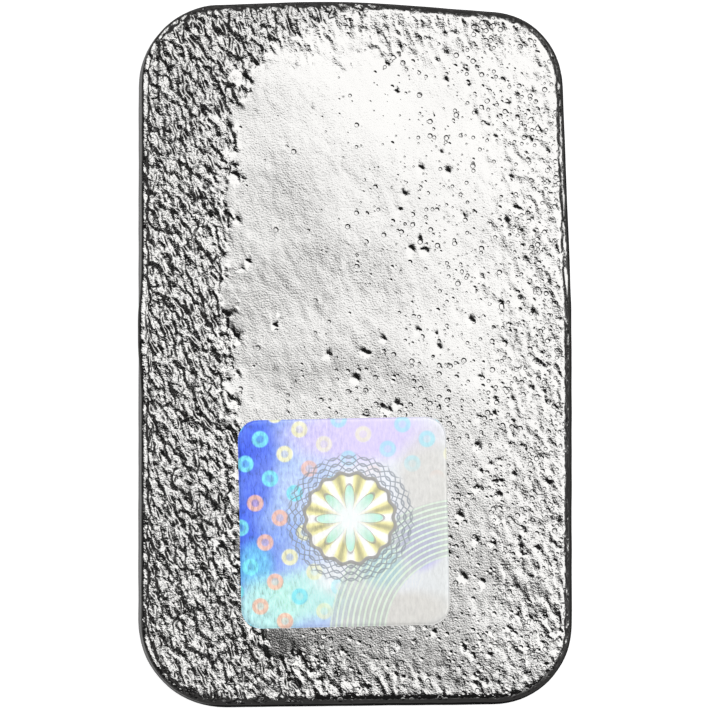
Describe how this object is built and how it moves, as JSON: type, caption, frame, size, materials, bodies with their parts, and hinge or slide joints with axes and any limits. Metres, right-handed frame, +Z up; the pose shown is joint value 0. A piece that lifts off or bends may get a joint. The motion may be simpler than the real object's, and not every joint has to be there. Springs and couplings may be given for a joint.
{
  "type": "cast silver bar",
  "caption": "Flat cast bar of fine silver with rounded corners, drafted walls and a pitted mould face that carries a thin square foil label.",
  "frame": {"origin": "middle of the plan box, on the flat resting face under the bar", "axes": "+Z up, out of the pitted mould face; +Y along the bar, away from the end with the label; +X across it"},
  "size_m": [0.0422, 0.0686, 0.0088],
  "materials": {
    "cast_silver": "satin",
    "label_foil": "gloss"
  },
  "bodies": {
    "root": {"cast_bar": "cast_silver", "foil_label": "label_foil"}
  },
  "joints": []
}
